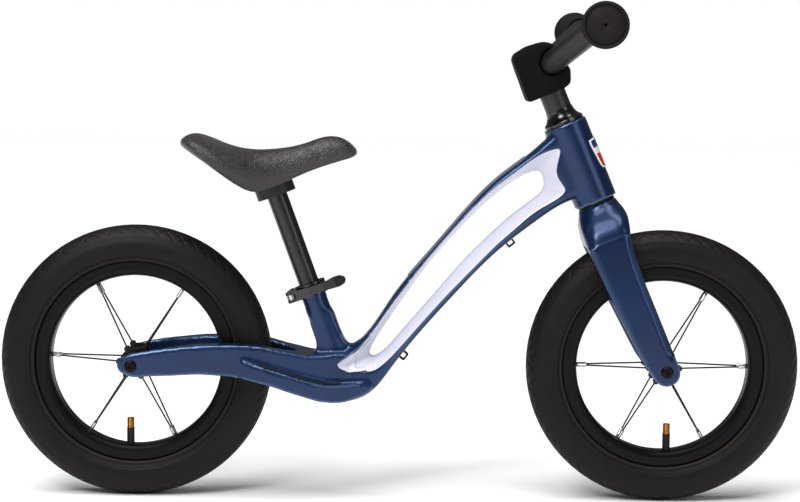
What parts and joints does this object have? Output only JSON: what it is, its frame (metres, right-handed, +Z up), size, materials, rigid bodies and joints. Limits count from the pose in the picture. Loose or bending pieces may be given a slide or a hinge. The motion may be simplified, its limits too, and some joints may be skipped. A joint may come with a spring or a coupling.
{
  "type": "balance bike",
  "caption": "Child's pedal-free balance bike: cast one-beam frame and fork, small spoked pneumatic wheels, bare bar with padded clamp, height-adjustable saddle.",
  "frame": {"origin": "on the ground, midway between the two axles, on the centre plane", "axes": "+X towards the front wheel, +Y to the rider's left, +Z up"},
  "size_m": [0.8717, 0.404, 0.5372],
  "materials": {
    "badge": "plain silver badge",
    "black_paint": "gloss black paint",
    "black_plastic": "black moulded plastic",
    "black_rim": "gloss black anodised aluminium rim and spokes",
    "black_rubber": "black rubber",
    "blue_paint": "satin metallic blue over cast magnesium alloy",
    "brass": "brass valve stem",
    "bright_steel": "bright steel",
    "grey_paint": "satin dark grey powder coat",
    "grip_rubber": "dark grey moulded rubber",
    "nickel": "nickel plated steel",
    "pad_fabric": "black woven cover over foam",
    "saddle_skin": "fine grained black polyurethane skin over foam",
    "strip_grey": "light grey moulded guard strip",
    "tyre_rubber": "black tyre rubber"
  },
  "bodies": {
    "frame": {"frame": "blue_paint", "top_strip": "strip_grey", "head_badge": "badge", "footrest_pad_right": "black_rubber", "footrest_pad_left": "black_rubber", "strap_loops": "bright_steel", "headset_outer_races": "bright_steel", "rear_axle": "bright_steel", "rear_axle_bolts": "bright_steel", "rear_axle_spacers": "black_plastic", "rear_bearing_inner_rings": "bright_steel", "seat_clamp_collar": "black_paint", "clamp_skewer": "nickel", "clamp_pivot_pin": "nickel"},
    "steering": {"fork": "blue_paint", "steerer_tube": "bright_steel", "headset_inner_races": "bright_steel", "headset_balls": "bright_steel", "crown_race": "bright_steel", "headset_cap": "black_paint", "handlebar": "grey_paint", "expander_bolt": "bright_steel", "expander_wedge": "bright_steel", "grip_right": "grip_rubber", "grip_left": "grip_rubber", "stem_pad": "pad_fabric", "front_axle": "bright_steel", "front_axle_bolts": "bright_steel", "front_axle_spacers": "black_plastic", "front_bearing_inner_rings": "bright_steel"},
    "front_wheel": {"front_hub": "black_rim", "front_bearing_outer_rings": "bright_steel", "front_bearing_balls": "bright_steel", "front_rim": "black_rim", "front_rim_tape": "black_plastic", "front_spokes": "black_rim", "front_spoke_nipples": "nickel", "front_inner_tube": "black_rubber", "front_valve": "brass", "front_tyre": "tyre_rubber"},
    "rear_wheel": {"rear_hub": "black_rim", "rear_bearing_outer_rings": "bright_steel", "rear_bearing_balls": "bright_steel", "rear_rim": "black_rim", "rear_rim_tape": "black_plastic", "rear_spokes": "black_rim", "rear_spoke_nipples": "nickel", "rear_inner_tube": "black_rubber", "rear_valve": "brass", "rear_tyre": "tyre_rubber"},
    "clamp_lever": {"clamp_lever": "black_paint"},
    "clamp_nut": {"clamp_nut": "black_paint"},
    "seat": {"seatpost": "black_paint", "seatpost_plug": "black_plastic", "saddle_base": "black_plastic", "saddle_cover": "saddle_skin", "saddle_screw": "bright_steel"}
  },
  "joints": [
    {"name": "steering", "type": "hinge", "parent": "frame", "child": "steering", "pos_m": [0.2874, 0, 0.1485], "axis": [-0.3875, 0, 0.9219], "continuous": true},
    {"name": "front_wheel_spin", "type": "hinge", "parent": "steering", "child": "front_wheel", "pos_m": [0.2874, 0, 0.1485], "axis": [0, 1, 0], "continuous": true},
    {"name": "rear_wheel_spin", "type": "hinge", "parent": "frame", "child": "rear_wheel", "pos_m": [-0.2874, 0, 0.1485], "axis": [0, 1, 0], "continuous": true},
    {"name": "seat_height", "type": "slide", "parent": "frame", "child": "seat", "axis": [-0.3469, 0, 0.9379], "range_m": [-0.05, 0.02]},
    {"name": "clamp_lever", "type": "hinge", "parent": "frame", "child": "clamp_lever", "pos_m": [-0.11694, -0.0154, 0.22088], "axis": [0.3469, 0, -0.9379], "range_deg": [0, 150]},
    {"name": "clamp_nut", "type": "hinge", "parent": "frame", "child": "clamp_nut", "pos_m": [-0.11694, 0.014, 0.22088], "axis": [0, 1, 0], "continuous": true}
  ]
}
